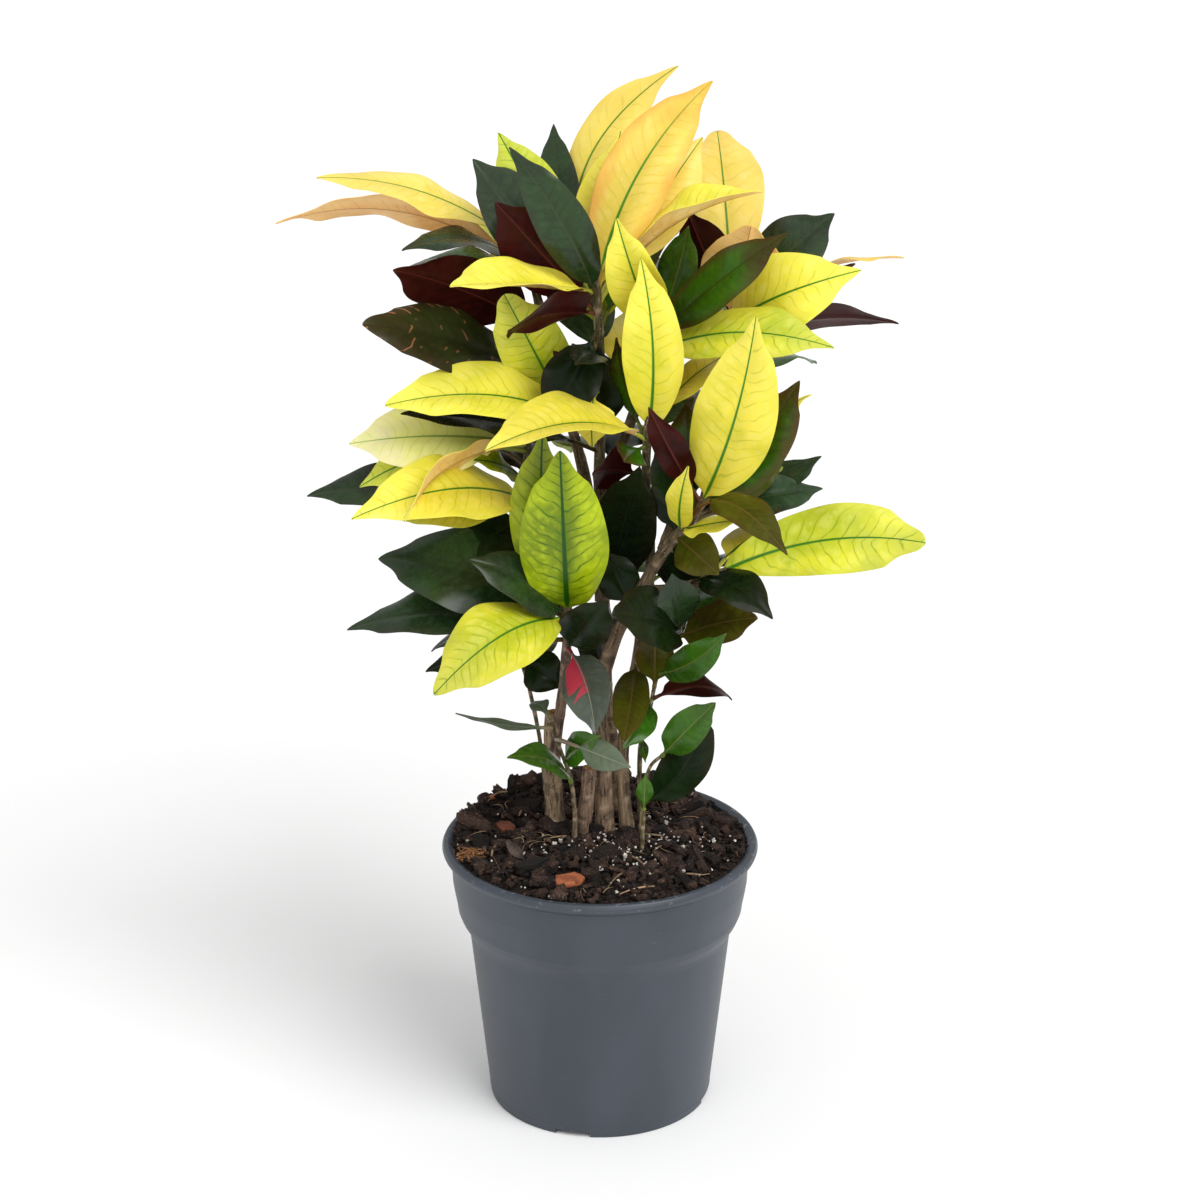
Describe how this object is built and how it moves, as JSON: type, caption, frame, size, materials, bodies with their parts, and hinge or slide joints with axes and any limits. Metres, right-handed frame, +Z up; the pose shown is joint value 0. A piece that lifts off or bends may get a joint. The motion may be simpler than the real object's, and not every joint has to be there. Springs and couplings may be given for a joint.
{
  "type": "potted croton",
  "caption": "Bushy croton with broad yellow, green and dark leaves on woody stems, rooted in potting mix in a tapered nursery pot.",
  "frame": {"origin": "middle of the pot's underside, on the surface that the pot stands on", "axes": "+Z up along the pot's axis; the side with the open view of the stems faces -Y, and +X is to its right"},
  "size_m": [0.4106, 0.2783, 0.6904],
  "materials": {
    "pot_plastic": "satin moulded plastic, grey-blue",
    "potting_mix": "damp bark and peat with white perlite grains",
    "clay_chip": "dry fired clay, matt",
    "foliage": "waxy leaves, yellow, lime, dark green and maroon, on grey-brown bark",
    "bark": "grey-brown bark with a cut brown end"
  },
  "bodies": {
    "root": {"pot": "pot_plastic", "potting_mix": "potting_mix", "clay_chip_front": "clay_chip", "clay_chip_left": "clay_chip", "tall_stem": "foliage", "right_stem": "foliage", "middle_stem": "foliage", "left_stem": "foliage", "cut_stub": "bark", "left_shoot": "foliage", "left_rear_shoot": "foliage", "right_shoot": "foliage", "low_right_shoot": "foliage", "seedling": "foliage"}
  },
  "joints": []
}
